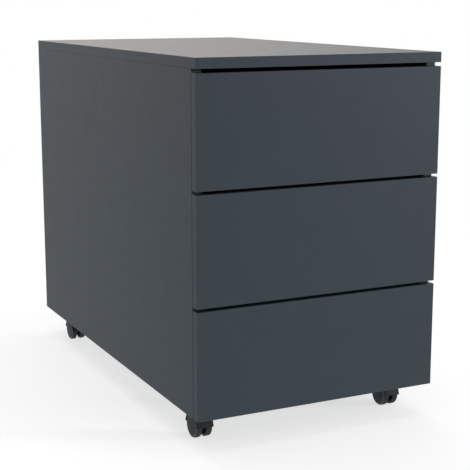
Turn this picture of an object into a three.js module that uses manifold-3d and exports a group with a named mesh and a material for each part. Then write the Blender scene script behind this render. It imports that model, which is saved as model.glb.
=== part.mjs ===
// Rolling pedestal cabinet: a board carcass with three full-width handleless drawers on
// telescopic slides, standing on four twin-wheel swivel casters.
// Frame: millimetres, +Z up, +X to the right seen from the front, the drawers open towards -Y.
// The origin is on the floor, under the middle of the cabinet.

import * as THREE from 'three';
import { mergeVertices } from 'three/addons/utils/BufferGeometryUtils.js';
import Module from 'manifold-3d';

const wasm = await Module();
wasm.setup();

// ---------- driving dimensions ----------

// cabinet
const WIDTH = 420;
const DEPTH = 755;
const BODY_HEIGHT = 540;
const CASTER_HEIGHT = 53.5;
const BOARD = 16;
const SEAM = 0.3;

// drawers
const DRAWER_NAMES = ['bottom', 'middle', 'top'];
const FRONT_THICKNESS = 15;
const FRONT_GAP = 5;
const TOP_GAP = 6;
const FRONT_STANDOFF = 1.2;
const GRIP_HEIGHT = 14;
const GRIP_DEPTH = 8;
const GRIP_END_MARGIN = 20;
const BOX_SIDE = 12;
const BOX_HEIGHT = 120;
const BOX_RISE = 25;
const BOX_BOTTOM = 8;
const BOX_BOTTOM_RISE = 10;
const GROOVE_DEPTH = 6;

// telescopic slides
const SLIDE_LENGTH = 650;
const SLIDE_SETBACK = 3;
const SLIDE_SHEET = 1.2;
const SLIDE_THICKNESS = 12.4;
const SLIDE_RISE = 45;
const CABINET_RAIL = { height: 45, depth: 9, start: 0, opensInwards: true };
const CARRIER_RAIL = { height: 36.4, depth: 5.2, start: 5, opensInwards: true };
const DRAWER_RAIL = { height: 27.6, depth: 5.2, start: SLIDE_THICKNESS - 5.2, opensInwards: false };

// casters
const STEM_INSET_X = 37.7;
const STEM_INSET_Y = 67;
const TRAIL = 6;
const WHEEL_RADIUS = 20;
const WHEEL_OUTER = 14.2;
const WHEEL_INNER = 4.4;
const WHEEL_SHOULDER = 2.5;
const WHEEL_FACE = 2.4;
const WHEEL_DOME = 0.45;
const RIM_ROOT = 3.5;
const RIM_MOUTH = 3.2;
const RIM_CHAMFER = 0.8;
const HUB_RADIUS = 5.5;
const AXLE_RADIUS = 2;
const AXLE_HALF_LENGTH = 12;
const RUNNING_CLEARANCE = 0.3;
const HOOD_OUTER_RADIUS = 22.6;
const HOOD_INNER_RADIUS = 21;
const HOOD_HALF_WIDTH = 14.7;
const HOOD_EDGE_HEIGHT = 20.7;
const WEB_HALF_WIDTH = 3.8;
const WEB_HUB_RADIUS = 6.5;
const STEM_RADIUS = 3;
const STEM_BOTTOM = 41.7;
const PLATE_SIZE = 38;
const PLATE_THICKNESS = 2.2;
const PLATE_CORNER = 4;
const RACE_RADIUS = 11;
const RACE_TAPER = 1;
const RACE_BOTTOM = 48.6;
const BOSS_TAPER = 1;
const BOSS_TOP = 48.2;
const BOSS_BOTTOM = 30;

// how finely round shapes are cut, in sides of a full turn or steps of one arc
const WHEEL_SIDES = 24;
const BOSS_SIDES = 24;
const PIN_SIDES = 16;
const WHEEL_SPACE_SIDES = 40;
const HOOD_ARC_STEPS = 20;
const CORNER_STEPS = 4;

// how far two shapes run into each other before they are joined, and a cutter past what it cuts
const BITE = 0.2;
const OVERSHOOT = 1;

// ---------- worked out from them ----------

const LEFT = -WIDTH / 2;
const FRONT = -DEPTH / 2;
const BACK = DEPTH / 2;
const BODY_BOTTOM = CASTER_HEIGHT;
const BODY_TOP = BODY_BOTTOM + BODY_HEIGHT;
const CARCASS_FRONT = FRONT + FRONT_THICKNESS + FRONT_STANDOFF;
const GAPS = TOP_GAP + (DRAWER_NAMES.length - 1) * FRONT_GAP;
const FRONT_HEIGHT = (BODY_HEIGHT - BOARD - GAPS) / DRAWER_NAMES.length;
const DRAWER_PITCH = FRONT_HEIGHT + FRONT_GAP;
const INNER_HALF_WIDTH = WIDTH / 2 - BOARD;
const BOX_HALF_WIDTH = INNER_HALF_WIDTH - SLIDE_THICKNESS - 2 * SEAM;
const BOX_FRONT = FRONT + FRONT_THICKNESS + SEAM;
const BOX_BACK = BOX_FRONT + SLIDE_LENGTH;
const SLIDE_FRONT = CARCASS_FRONT + SLIDE_SETBACK;
const HOOD_WALL_MIDDLE = (HOOD_INNER_RADIUS + HOOD_OUTER_RADIUS) / 2;
const HOOD_EDGE_RISE = HOOD_EDGE_HEIGHT - WHEEL_RADIUS;

// ---------- materials ----------

const paints = {
  board: { color: 0x42494f, roughness: 0.45, metalness: 0.0 },
  drawerBox: { color: 0x5a5f63, roughness: 0.55, metalness: 0.0 },
  steel: { color: 0xb9bcbe, roughness: 0.35, metalness: 0.9 },
  casterPlastic: { color: 0x2f3336, roughness: 0.5, metalness: 0.0 },
};

const cabinet = new THREE.Group();

function addMesh(parent, name, paint, geometry) {
  const mesh = new THREE.Mesh(geometry, new THREE.MeshStandardMaterial(paints[paint]));
  mesh.name = name;
  parent.add(mesh);
  return mesh;
}

// ---------- shape helpers ----------

const ALONG_X = new THREE.Matrix4().makeBasis(
  new THREE.Vector3(0, 1, 0),
  new THREE.Vector3(0, 0, 1),
  new THREE.Vector3(1, 0, 0),
);
const ALONG_MINUS_Y = new THREE.Matrix4().makeBasis(
  new THREE.Vector3(1, 0, 0),
  new THREE.Vector3(0, 0, 1),
  new THREE.Vector3(0, -1, 0),
);

// A box between two corners.
function slab(low, high) {
  const geometry = new THREE.BoxGeometry(high[0] - low[0], high[1] - low[1], high[2] - low[2]);
  const middle = low.map((value, axis) => (value + high[axis]) / 2);
  return geometry.translate(...middle);
}

function polygon(points) {
  return new THREE.Shape(points.map(([u, v]) => new THREE.Vector2(u, v)));
}

// A section in X and Z, run from one Y to another.
function runAlongY(points, start, end) {
  const geometry = new THREE.ExtrudeGeometry(polygon(points), {
    depth: end - start,
    bevelEnabled: false,
  });
  return geometry.applyMatrix4(ALONG_MINUS_Y).translate(0, end, 0);
}

// A section in Y and Z, run from -halfWidth to +halfWidth in X.
function runAcrossX(shape, halfWidth, curveSegments) {
  const geometry = new THREE.ExtrudeGeometry(shape, {
    depth: 2 * halfWidth,
    bevelEnabled: false,
    curveSegments,
  });
  return geometry.translate(0, 0, -halfWidth).applyMatrix4(ALONG_X);
}

// A cylinder or cone about Z.
function turned(bottomRadius, topRadius, bottom, top, segments) {
  const geometry = new THREE.CylinderGeometry(topRadius, bottomRadius, top - bottom, segments);
  return geometry.rotateX(Math.PI / 2).translate(0, 0, (bottom + top) / 2);
}

// A cylinder about X, centred on the origin.
function rod(radius, halfLength, segments) {
  const geometry = new THREE.CylinderGeometry(radius, radius, 2 * halfLength, segments);
  return geometry.rotateZ(Math.PI / 2);
}

function toSolid(geometry) {
  const bare = geometry.clone();
  bare.deleteAttribute('normal');
  bare.deleteAttribute('uv');
  const merged = mergeVertices(bare, 1e-4);
  return new wasm.Manifold(new wasm.Mesh({
    numProp: 3,
    vertProperties: new Float32Array(merged.attributes.position.array),
    triVerts: new Uint32Array(merged.index.array),
  }));
}

function toGeometry(solid) {
  const mesh = solid.getMesh();
  const geometry = new THREE.BufferGeometry();
  geometry.setAttribute('position', new THREE.BufferAttribute(new Float32Array(mesh.vertProperties), 3));
  geometry.setIndex(new THREE.BufferAttribute(new Uint32Array(mesh.triVerts), 1));
  geometry.computeVertexNormals();
  return geometry;
}

// ---------- carcass ----------

function addCarcass() {
  const underTop = BODY_TOP - BOARD - SEAM;
  const insideWall = INNER_HALF_WIDTH - SEAM;
  const backFront = BACK - BOARD;
  addMesh(cabinet, 'top_board', 'board', slab(
    [LEFT, FRONT, BODY_TOP - BOARD],
    [-LEFT, BACK, BODY_TOP],
  ));
  addMesh(cabinet, 'side_board_left', 'board', slab(
    [LEFT, CARCASS_FRONT, BODY_BOTTOM],
    [-INNER_HALF_WIDTH, BACK, underTop],
  ));
  addMesh(cabinet, 'side_board_right', 'board', slab(
    [INNER_HALF_WIDTH, CARCASS_FRONT, BODY_BOTTOM],
    [-LEFT, BACK, underTop],
  ));
  addMesh(cabinet, 'bottom_board', 'board', slab(
    [-insideWall, CARCASS_FRONT, BODY_BOTTOM],
    [insideWall, backFront - SEAM, BODY_BOTTOM + BOARD],
  ));
  addMesh(cabinet, 'back_board', 'board', slab(
    [-insideWall, backFront, BODY_BOTTOM],
    [insideWall, BACK, underTop],
  ));
}

// ---------- telescopic slides ----------

// The section of a folded channel, drawn from the side board inwards (u) and up (v). Its web
// stands upright, and its two flanges reach from the web towards the side it opens to.
function channelSection(rail) {
  const half = rail.height / 2;
  const near = rail.start;
  const far = rail.start + rail.depth;
  const web = rail.opensInwards ? near : far;
  const tip = rail.opensInwards ? far : near;
  const webFace = rail.opensInwards ? near + SLIDE_SHEET : far - SLIDE_SHEET;
  return [
    [web, -half],
    [tip, -half],
    [tip, -half + SLIDE_SHEET],
    [webFace, -half + SLIDE_SHEET],
    [webFace, half - SLIDE_SHEET],
    [tip, half - SLIDE_SHEET],
    [tip, half],
    [web, half],
  ];
}

function addRail(name, rail, side, height) {
  const wall = INNER_HALF_WIDTH - SEAM;
  const section = channelSection(rail).map(([inwards, up]) => [side * (wall - inwards), height + up]);
  addMesh(cabinet, name, 'steel', runAlongY(section, SLIDE_FRONT, SLIDE_FRONT + SLIDE_LENGTH));
}

// One slide: a rail on the side board, a rail on the drawer, and the ball-bearing carrier
// between them, which travels half as far as the drawer.
function addSlide(drawerName, sideName, side, frontBottom) {
  const height = frontBottom + BOX_RISE + SLIDE_RISE;
  const slide = `slide_${drawerName}_${sideName}`;
  addRail(`${slide}_cabinet_rail`, CABINET_RAIL, side, height);
  addRail(`${slide}_carrier_rail`, CARRIER_RAIL, side, height);
  addRail(`${slide}_drawer_rail`, DRAWER_RAIL, side, height);
}

// ---------- drawers ----------

// The front overlays the carcass. A bevel routed into its lower back edge takes the fingertips;
// it stops short of the ends, so it doesn't show from the side.
function frontBoard(bottom) {
  const board = slab([LEFT, FRONT, bottom], [-LEFT, FRONT + FRONT_THICKNESS, bottom + FRONT_HEIGHT]);
  const back = FRONT + FRONT_THICKNESS;
  const slope = GRIP_HEIGHT / GRIP_DEPTH;
  const wedge = polygon([
    [back - GRIP_DEPTH - OVERSHOOT / slope, bottom - OVERSHOOT],
    [back + OVERSHOOT, bottom - OVERSHOOT],
    [back + OVERSHOOT, bottom + GRIP_HEIGHT + OVERSHOOT * slope],
  ]);
  const gripHalfWidth = WIDTH / 2 - GRIP_END_MARGIN;
  const grip = runAcrossX(wedge, gripHalfWidth, 1);
  return toGeometry(toSolid(board).subtract(toSolid(grip)));
}

// A side board with the groove that holds the drawer's bottom panel.
function boxSide(side, boxBase) {
  const outer = BOX_HALF_WIDTH;
  const inner = BOX_HALF_WIDTH - BOX_SIDE;
  const groove = inner + GROOVE_DEPTH;
  const grooveLow = boxBase + BOX_BOTTOM_RISE;
  const grooveHigh = grooveLow + BOX_BOTTOM;
  const section = [
    [outer, boxBase],
    [outer, boxBase + BOX_HEIGHT],
    [inner, boxBase + BOX_HEIGHT],
    [inner, grooveHigh],
    [groove, grooveHigh],
    [groove, grooveLow],
    [inner, grooveLow],
    [inner, boxBase],
  ].map(([across, up]) => [side * across, up]);
  return runAlongY(section, BOX_FRONT, BOX_BACK);
}

function addDrawer(drawerName, index) {
  const frontBottom = BODY_BOTTOM + index * DRAWER_PITCH;
  const boxBase = frontBottom + BOX_RISE;
  const inner = BOX_HALF_WIDTH - BOX_SIDE;
  const panelLow = boxBase + BOX_BOTTOM_RISE + SEAM;
  const panelHigh = boxBase + BOX_BOTTOM_RISE + BOX_BOTTOM - SEAM;
  const panelEdge = inner + GROOVE_DEPTH - SEAM;
  const name = (piece) => `drawer_${drawerName}_${piece}`;
  addMesh(cabinet, name('front'), 'board', frontBoard(frontBottom));
  addMesh(cabinet, name('side_left'), 'drawerBox', boxSide(-1, boxBase));
  addMesh(cabinet, name('side_right'), 'drawerBox', boxSide(1, boxBase));
  addMesh(cabinet, name('back_panel'), 'drawerBox', slab(
    [-inner + SEAM, BOX_BACK - BOX_SIDE, panelHigh + SEAM],
    [inner - SEAM, BOX_BACK, boxBase + BOX_HEIGHT],
  ));
  addMesh(cabinet, name('base_panel'), 'drawerBox', slab(
    [-panelEdge, BOX_FRONT, panelLow],
    [panelEdge, BOX_BACK, panelHigh],
  ));
  addSlide(drawerName, 'left', -1, frontBottom);
  addSlide(drawerName, 'right', 1, frontBottom);
}

// ---------- casters ----------
// Each caster is drawn with its stem on the Z axis and its floor at Z = 0; its wheels trail towards -Y.

// A flat square with rounded corners, lying from one height to another.
function roundedSquare(size, corner, bottom, top) {
  const straight = size / 2 - corner;
  const outline = new THREE.Shape();
  outline.absarc(straight, straight, corner, 0, Math.PI / 2, false);
  outline.absarc(-straight, straight, corner, Math.PI / 2, Math.PI, false);
  outline.absarc(-straight, -straight, corner, Math.PI, 1.5 * Math.PI, false);
  outline.absarc(straight, -straight, corner, 1.5 * Math.PI, 2 * Math.PI, false);
  const geometry = new THREE.ExtrudeGeometry(outline, {
    depth: top - bottom,
    bevelEnabled: false,
    curveSegments: CORNER_STEPS,
  });
  return geometry.translate(0, 0, bottom);
}

// The mounting plate, the fixed half of the swivel race and the stem, riveted into one piece.
function casterPlate() {
  const plateTop = CASTER_HEIGHT - SEAM;
  const plateBottom = plateTop - PLATE_THICKNESS;
  const plate = roundedSquare(PLATE_SIZE, PLATE_CORNER, plateBottom, plateTop);
  const race = turned(RACE_RADIUS - RACE_TAPER, RACE_RADIUS, RACE_BOTTOM, plateBottom + BITE, BOSS_SIDES);
  const stem = turned(STEM_RADIUS, STEM_RADIUS, STEM_BOTTOM, RACE_BOTTOM + BITE, PIN_SIDES);
  return toGeometry(toSolid(plate).add(toSolid(race)).add(toSolid(stem)));
}

// Half a ring over both wheels, from its lower edge over the top and down again.
function hoodArch() {
  const outerStart = Math.asin(HOOD_EDGE_RISE / HOOD_OUTER_RADIUS);
  const innerStart = Math.asin(HOOD_EDGE_RISE / HOOD_INNER_RADIUS);
  const arch = new THREE.Shape();
  arch.absarc(0, 0, HOOD_OUTER_RADIUS, outerStart, Math.PI - outerStart, false);
  arch.absarc(0, 0, HOOD_INNER_RADIUS, Math.PI - innerStart, innerStart, true);
  return runAcrossX(arch, HOOD_HALF_WIDTH, HOOD_ARC_STEPS);
}

// The web between the wheels, which carries the axle. It ends inside the hood's wall.
function hoodWeb() {
  const start = Math.asin(HOOD_EDGE_RISE / HOOD_WALL_MIDDLE);
  const fan = new THREE.Shape();
  fan.absarc(0, 0, HOOD_WALL_MIDDLE, start, Math.PI - start, false);
  const hub = rod(WEB_HUB_RADIUS, WEB_HALF_WIDTH, BOSS_SIDES);
  return toSolid(runAcrossX(fan, WEB_HALF_WIDTH, HOOD_ARC_STEPS)).add(toSolid(hub));
}

// The arch and the web, with a boss on top that takes the stem and ends inside the arch's wall.
function casterHood() {
  const atAxle = (geometry) => geometry.translate(0, -TRAIL, WHEEL_RADIUS);
  const wheelSpace = rod(HOOD_WALL_MIDDLE, HOOD_HALF_WIDTH, WHEEL_SPACE_SIDES);
  const boss = toSolid(turned(RACE_RADIUS + BOSS_TAPER, RACE_RADIUS, BOSS_BOTTOM, BOSS_TOP, BOSS_SIDES));
  const shell = boss.subtract(toSolid(atAxle(wheelSpace))).add(toSolid(atAxle(hoodArch())));
  const web = toSolid(atAxle(toGeometry(hoodWeb())));
  const stemBore = turned(
    STEM_RADIUS + RUNNING_CLEARANCE,
    STEM_RADIUS + RUNNING_CLEARANCE,
    STEM_BOTTOM - RUNNING_CLEARANCE,
    BOSS_TOP + OVERSHOOT,
    PIN_SIDES,
  );
  const axleBore = atAxle(rod(AXLE_RADIUS + RUNNING_CLEARANCE, HOOD_HALF_WIDTH, PIN_SIDES));
  const solid = shell.add(web).subtract(toSolid(stemBore)).subtract(toSolid(axleBore));
  return toGeometry(solid);
}

// A cup-shaped wheel turned about X: domed outside, open towards the web, with a blind hub.
function casterWheel(side) {
  const shoulderAt = WHEEL_RADIUS - WHEEL_SHOULDER;
  const boreRadius = AXLE_RADIUS + RUNNING_CLEARANCE;
  const boreEnd = AXLE_HALF_LENGTH + RUNNING_CLEARANCE;
  const cupFloor = WHEEL_OUTER - WHEEL_FACE;
  const profile = [
    [0, boreEnd],
    [boreRadius, boreEnd],
    [boreRadius, WHEEL_INNER],
    [HUB_RADIUS, WHEEL_INNER],
    [HUB_RADIUS, cupFloor],
    [WHEEL_RADIUS - RIM_ROOT, cupFloor],
    [WHEEL_RADIUS - RIM_MOUTH, WHEEL_INNER],
    [WHEEL_RADIUS - RIM_CHAMFER, WHEEL_INNER],
    [WHEEL_RADIUS, WHEEL_INNER + RIM_CHAMFER],
  ];
  for (let step = 0; step <= CORNER_STEPS; step += 1) {
    const angle = (step / CORNER_STEPS) * (Math.PI / 2);
    profile.push([
      shoulderAt + WHEEL_SHOULDER * Math.cos(angle),
      WHEEL_OUTER - WHEEL_SHOULDER + WHEEL_SHOULDER * Math.sin(angle),
    ]);
  }
  profile.push([shoulderAt / 2, WHEEL_OUTER + 0.75 * WHEEL_DOME]);
  profile.push([0, WHEEL_OUTER + WHEEL_DOME]);
  const points = profile.map(([radius, across]) => new THREE.Vector2(radius, across));
  const wheel = new THREE.LatheGeometry(points, WHEEL_SIDES);
  return wheel.rotateZ(side > 0 ? -Math.PI / 2 : Math.PI / 2);
}

function addCaster(placeName, x, y) {
  const caster = new THREE.Group();
  caster.position.set(x, y, 0);
  cabinet.add(caster);
  const name = (piece) => `caster_${placeName}_${piece}`;
  addMesh(caster, name('plate'), 'steel', casterPlate());
  addMesh(caster, name('hood'), 'casterPlastic', casterHood());
  const onAxle = [
    addMesh(caster, name('axle'), 'steel', rod(AXLE_RADIUS, AXLE_HALF_LENGTH, PIN_SIDES)),
    addMesh(caster, name('wheel_left'), 'casterPlastic', casterWheel(-1)),
    addMesh(caster, name('wheel_right'), 'casterPlastic', casterWheel(1)),
  ];
  onAxle.forEach((mesh) => mesh.position.set(0, -TRAIL, WHEEL_RADIUS));
}

// ---------- assembly ----------

addCarcass();
DRAWER_NAMES.forEach(addDrawer);

const stemX = WIDTH / 2 - STEM_INSET_X;
const frontStemY = CARCASS_FRONT + STEM_INSET_Y;
const backStemY = BACK - STEM_INSET_Y;
addCaster('front_left', -stemX, frontStemY);
addCaster('front_right', stemX, frontStemY);
addCaster('back_left', -stemX, backStemY);
addCaster('back_right', stemX, backStemY);

export default cabinet;
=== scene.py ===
"""Looks of the rolling pedestal cabinet: its finishes, its small pieces, and the studio it stands in.

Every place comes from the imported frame. Lengths are in metres, +Z is up, and the drawers open
towards -Y.
"""

import math

import bmesh
import bpy
from mathutils import Matrix, Vector


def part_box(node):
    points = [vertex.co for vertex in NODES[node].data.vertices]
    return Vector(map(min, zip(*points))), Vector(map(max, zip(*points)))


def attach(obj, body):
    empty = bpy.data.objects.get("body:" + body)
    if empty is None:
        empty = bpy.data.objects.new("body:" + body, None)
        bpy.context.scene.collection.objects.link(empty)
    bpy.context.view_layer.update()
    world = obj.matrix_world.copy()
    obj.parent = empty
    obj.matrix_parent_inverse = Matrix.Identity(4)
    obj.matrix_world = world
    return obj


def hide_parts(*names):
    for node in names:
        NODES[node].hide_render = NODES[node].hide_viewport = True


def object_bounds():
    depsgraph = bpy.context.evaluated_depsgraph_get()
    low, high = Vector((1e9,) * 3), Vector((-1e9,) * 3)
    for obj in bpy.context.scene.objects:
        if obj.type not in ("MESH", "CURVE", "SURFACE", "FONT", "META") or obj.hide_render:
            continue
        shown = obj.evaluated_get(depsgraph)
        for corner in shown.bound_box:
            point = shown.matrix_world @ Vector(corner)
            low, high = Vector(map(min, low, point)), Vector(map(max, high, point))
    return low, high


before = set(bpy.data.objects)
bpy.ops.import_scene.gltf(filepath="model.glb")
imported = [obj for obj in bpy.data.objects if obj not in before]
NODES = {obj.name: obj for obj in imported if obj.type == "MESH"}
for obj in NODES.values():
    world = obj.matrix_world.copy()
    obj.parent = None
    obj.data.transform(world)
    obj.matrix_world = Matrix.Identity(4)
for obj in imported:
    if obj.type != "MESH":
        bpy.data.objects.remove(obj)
CAD_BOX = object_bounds()

MM = 0.001
DRAWERS = ("bottom", "middle", "top")
SIDES = {"left": -1, "right": 1}
CASTERS = ("front_left", "front_right", "back_left", "back_right")
CARCASS_BOARDS = ("top_board", "side_board_left", "side_board_right", "bottom_board", "back_board")
FRONT_BOARDS = tuple(f"drawer_{drawer}_front" for drawer in DRAWERS)
BOX_PANELS = tuple(
    f"drawer_{drawer}_{panel}"
    for drawer in DRAWERS
    for panel in ("side_left", "side_right", "back_panel", "base_panel")
)

# ---------- studio ----------

# Angles are in degrees, and an azimuth is from +X towards +Y.
CAMERA_LENS = 90.05
CAMERA_SENSOR = 36.0
CAMERA_DISTANCE = 2.070
CAMERA_AZIMUTH = -116.05
CAMERA_ELEVATION = 11.43
CAMERA_AIM = Vector((0.0, -0.0749, 0.2663))

# The room that lights the cabinet: dim all round, with a bright wall behind that is brighter
# still above the horizon.
ROOM_LIGHT = (0.334, 0.334, 0.334)
WALL_LIGHT = (0.309, 0.353, 0.367)
HIGH_WALL_LIGHT = (1.218, 1.027, 0.910)
WALL_AZIMUTH = 78
HIGH_WALL_AZIMUTH = 90
WALL_EDGES = (0.65, 1.0)
HORIZON = (0.02, 0.12)
BLACK = (0.0, 0.0, 0.0)
WHITE = (1.0, 1.0, 1.0)

# A soft box overhead, a low lamp that skims past the front and under the cabinet, and a fill.
TOP_BOX_PLACE = (0.0, 0.2, 2.6)
TOP_BOX_SIZE = (2.0, 2.0)
TOP_LIGHT = (17.358, 17.358, 17.358)
LOW_LAMP = {"azimuth": -28, "elevation": 6, "spread": 5}
LOW_LIGHT = (1.673, 1.673, 1.673)
FILL_LAMP = {"azimuth": -40, "elevation": 30, "spread": 25}
FILL_LIGHT = (0.304, 0.304, 0.304)

# A pale matt floor that glows a little, so that it reads as white, and fades out with distance.
FLOOR_COLOUR = (0.600, 0.600, 0.600)
FLOOR_GLOW = (0.655, 0.655, 0.655)
FLOOR_ROUGHNESS = 0.9
FLOOR_SHINE = 0.1
FLOOR_RADIUS = 3.0
FLOOR_SIDES = 96
FLOOR_FADE = (0.75, 1.9)


def heading(azimuth, elevation=0.0):
    """The unit vector that points that way."""
    turn = math.radians(azimuth)
    flat = math.cos(math.radians(elevation))
    rise = math.sin(math.radians(elevation))
    return Vector((flat * math.cos(turn), flat * math.sin(turn), rise))


def add_camera():
    data = bpy.data.cameras.new("camera")
    data.lens = CAMERA_LENS
    data.sensor_width = CAMERA_SENSOR
    camera = bpy.data.objects.new("camera", data)
    bpy.context.scene.collection.objects.link(camera)
    back = heading(CAMERA_AZIMUTH, CAMERA_ELEVATION)
    camera.location = CAMERA_AIM + back * CAMERA_DISTANCE
    camera.rotation_euler = (-back).to_track_quat("-Z", "Y").to_euler()
    bpy.context.scene.camera = camera


def add_lamp(name, kind, strength, aim):
    """A lamp that shines along aim. Its strength is given for each colour."""
    data = bpy.data.lights.new(name, kind)
    data.energy = max(strength)
    data.color = tuple(channel / max(strength) for channel in strength)
    light = bpy.data.objects.new(name, data)
    light.rotation_euler = aim.to_track_quat("-Z", "Y").to_euler()
    bpy.context.scene.collection.objects.link(light)
    return light


def add_softbox(name, place, size, watts):
    """A rectangular lamp that faces the middle of the cabinet."""
    middle = (CAD_BOX[0] + CAD_BOX[1]) / 2
    light = add_lamp(name, "AREA", watts, middle - Vector(place))
    light.location = place
    light.data.shape = "RECTANGLE"
    light.data.size, light.data.size_y = size


def add_far_lamp(name, lamp, strength):
    """A round lamp far away."""
    light = add_lamp(name, "SUN", strength, -heading(lamp["azimuth"], lamp["elevation"]))
    light.data.angle = math.radians(lamp["spread"])


# A mix node has sockets for every kind of data: these are its share, its two colours and its
# mixed colour.
MIX_INPUTS = (0, 6, 7)
MIX_OUTPUT = 2


class Graph:
    """Writes a node tree as expressions. A number stands for itself, and a socket for its link."""

    def __init__(self, tree):
        self.tree = tree

    def node(self, kind, inputs=None, **settings):
        """Adds a node. Its inputs are given by name or by number."""
        made = self.tree.nodes.new(kind)
        for name, value in settings.items():
            setattr(made, name, value)
        for name, value in (inputs or {}).items():
            self.feed(made.inputs[name], value)
        return made

    def feed(self, socket, value):
        if isinstance(value, bpy.types.NodeSocket):
            self.tree.links.new(value, socket)
        elif socket.type == "RGBA":
            socket.default_value = (*value, 1.0)
        else:
            socket.default_value = value

    def maths(self, operation, *values):
        made = self.node("ShaderNodeMath", dict(enumerate(values)), operation=operation)
        return made.outputs[0]

    def vector_maths(self, operation, *values):
        made = self.node("ShaderNodeVectorMath", dict(enumerate(values)), operation=operation)
        return made.outputs["Value" if operation in ("DOT_PRODUCT", "LENGTH") else "Vector"]

    def split(self, vector):
        return self.node("ShaderNodeSeparateXYZ", {"Vector": vector}).outputs

    def ease(self, value, low, high, start=0.0, end=1.0):
        """Turns value from low to high into start to end, smoothly and no further."""
        made = self.node(
            "ShaderNodeMapRange",
            {"Value": value, "From Min": low, "From Max": high, "To Min": start, "To Max": end},
            interpolation_type="SMOOTHSTEP",
        )
        return made.outputs["Result"]

    def mix(self, share, first, second, blend="MIX"):
        """Mixes two colours."""
        inputs = dict(zip(MIX_INPUTS, (share, first, second)))
        made = self.node("ShaderNodeMix", inputs, data_type="RGBA", blend_type=blend)
        return made.outputs[MIX_OUTPUT]

    def noise(self, vector, size, detail, roughness=0.5):
        """Noise from 0 to 1 whose lumps are about that size, in metres."""
        made = self.node(
            "ShaderNodeTexNoise",
            {"Vector": vector, "Scale": 1 / size, "Detail": detail, "Roughness": roughness},
        )
        return made.outputs["Fac"]

    def vary(self, noise, start, end):
        """Spreads noise, most of which lies between 0.3 and 0.7, from start to end."""
        return self.ease(noise, 0.3, 0.7, start, end)

    def stretch(self, vector, factors):
        return self.vector_maths("MULTIPLY", vector, factors)

    def fill_shader(self, values):
        """Feeds the shader's sockets, by name."""
        sockets = self.tree.nodes["Principled BSDF"].inputs
        for name, value in values.items():
            self.feed(sockets[name], value)


def new_material(name):
    """A material, its graph, and the place in the piece's own frame, which patterns follow."""
    material = bpy.data.materials.new(name)
    material.use_nodes = True
    graph = Graph(material.node_tree)
    return material, graph, graph.node("ShaderNodeTexCoord").outputs["Object"]


def circle(radius, sides):
    """Points round the origin of a plane."""
    turns = [2 * math.pi * side / sides for side in range(sides)]
    return [(radius * math.cos(turn), radius * math.sin(turn)) for turn in turns]


def add_world():
    """The room's light on the cabinet. The camera itself sees plain white behind it."""
    world = bpy.data.worlds.new("studio")
    world.use_nodes = True
    graph = Graph(world.node_tree)
    graph.tree.nodes.clear()
    ray = graph.node("ShaderNodeTexCoord").outputs["Generated"]

    def wall_share(azimuth):
        return graph.ease(graph.vector_maths("DOT_PRODUCT", ray, heading(azimuth)), *WALL_EDGES)

    above = graph.ease(graph.split(ray)[2], *HORIZON)
    high_share = graph.maths("MULTIPLY", wall_share(HIGH_WALL_AZIMUTH), above)
    room = graph.mix(1.0, ROOM_LIGHT, graph.mix(wall_share(WALL_AZIMUTH), BLACK, WALL_LIGHT), "ADD")
    room = graph.mix(1.0, room, graph.mix(high_share, BLACK, HIGH_WALL_LIGHT), "ADD")
    seen = graph.node("ShaderNodeLightPath").outputs["Is Camera Ray"]
    colour = graph.mix(seen, room, WHITE)
    background = graph.node("ShaderNodeBackground", {"Color": colour})
    graph.node("ShaderNodeOutputWorld", {"Surface": background.outputs[0]})
    bpy.context.scene.world = world
    bpy.context.scene.view_settings.view_transform = "Standard"


def add_floor():
    """A pale round floor that fades into the white room."""
    mesh = bpy.data.meshes.new("floor")
    rim = [(x, y, 0.0) for x, y in circle(FLOOR_RADIUS, FLOOR_SIDES)]
    mesh.from_pydata(rim, [], [tuple(range(FLOOR_SIDES))])
    floor = bpy.data.objects.new("floor", mesh)
    bpy.context.scene.collection.objects.link(floor)
    material, graph, place = new_material("floor")
    away = graph.vector_maths("LENGTH", place)
    graph.fill_shader({
        "Base Color": FLOOR_COLOUR,
        "Roughness": FLOOR_ROUGHNESS,
        "Specular IOR Level": FLOOR_SHINE,
        "Emission Color": FLOOR_GLOW,
        "Emission Strength": 1.0,
        "Alpha": graph.ease(away, *FLOOR_FADE, start=1.0, end=0.0),
    })
    mesh.materials.append(material)
    floor.visible_glossy = False


def add_studio():
    add_world()
    add_floor()
    add_softbox("top", TOP_BOX_PLACE, TOP_BOX_SIZE, TOP_LIGHT)
    add_far_lamp("low", LOW_LAMP, LOW_LIGHT)
    add_far_lamp("fill", FILL_LAMP, FILL_LIGHT)


# ---------- materials ----------

ANTHRACITE = (0.0300, 0.0450, 0.0597)
SEAM_SHADE = (0.014, 0.018, 0.023)
WORN_BOARD = (0.130, 0.140, 0.150)
GRAPHITE = (0.083, 0.092, 0.100)
WORN_FOIL = (0.180, 0.185, 0.190)
NYLON = (0.0150, 0.0215, 0.0265)
HOOD_NYLON = (0.0120, 0.0185, 0.0240)
SCUFFED_NYLON = (0.060, 0.062, 0.063)
# A painted highlight: a lighter colour for the wheels' rounded shoulder, which stands in for a lamp's
# gleam there.
PAINTED_SHOULDER_HIGHLIGHT = (0.095, 0.097, 0.102)
DUST = (0.150, 0.148, 0.142)
ZINC = (0.560, 0.570, 0.585)
DARK_ZINC = (0.400, 0.410, 0.430)
BALL_STEEL = (0.640, 0.640, 0.640)
SOFT_RUBBER = (0.120, 0.124, 0.128)
DUST_SHARE = 0.06
NYLON_SHINE = 0.28

# The edge band on a board, the seam beside it, and how far wear reaches from a corner.
EDGE_BAND = 1.0 * MM
SEAM_WIDTH = 0.25 * MM
SEAM_SHARE = 0.45
BAND_SKIN = 0.3 * MM
BOARD_WEAR_REACH = (0.25 * MM, 0.8 * MM)
BOARD_WEAR_SHARE = 0.35
FOIL_WEAR_REACH = (0.3 * MM, 1.0 * MM)
FOIL_WEAR_SHARE = 0.45

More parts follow.
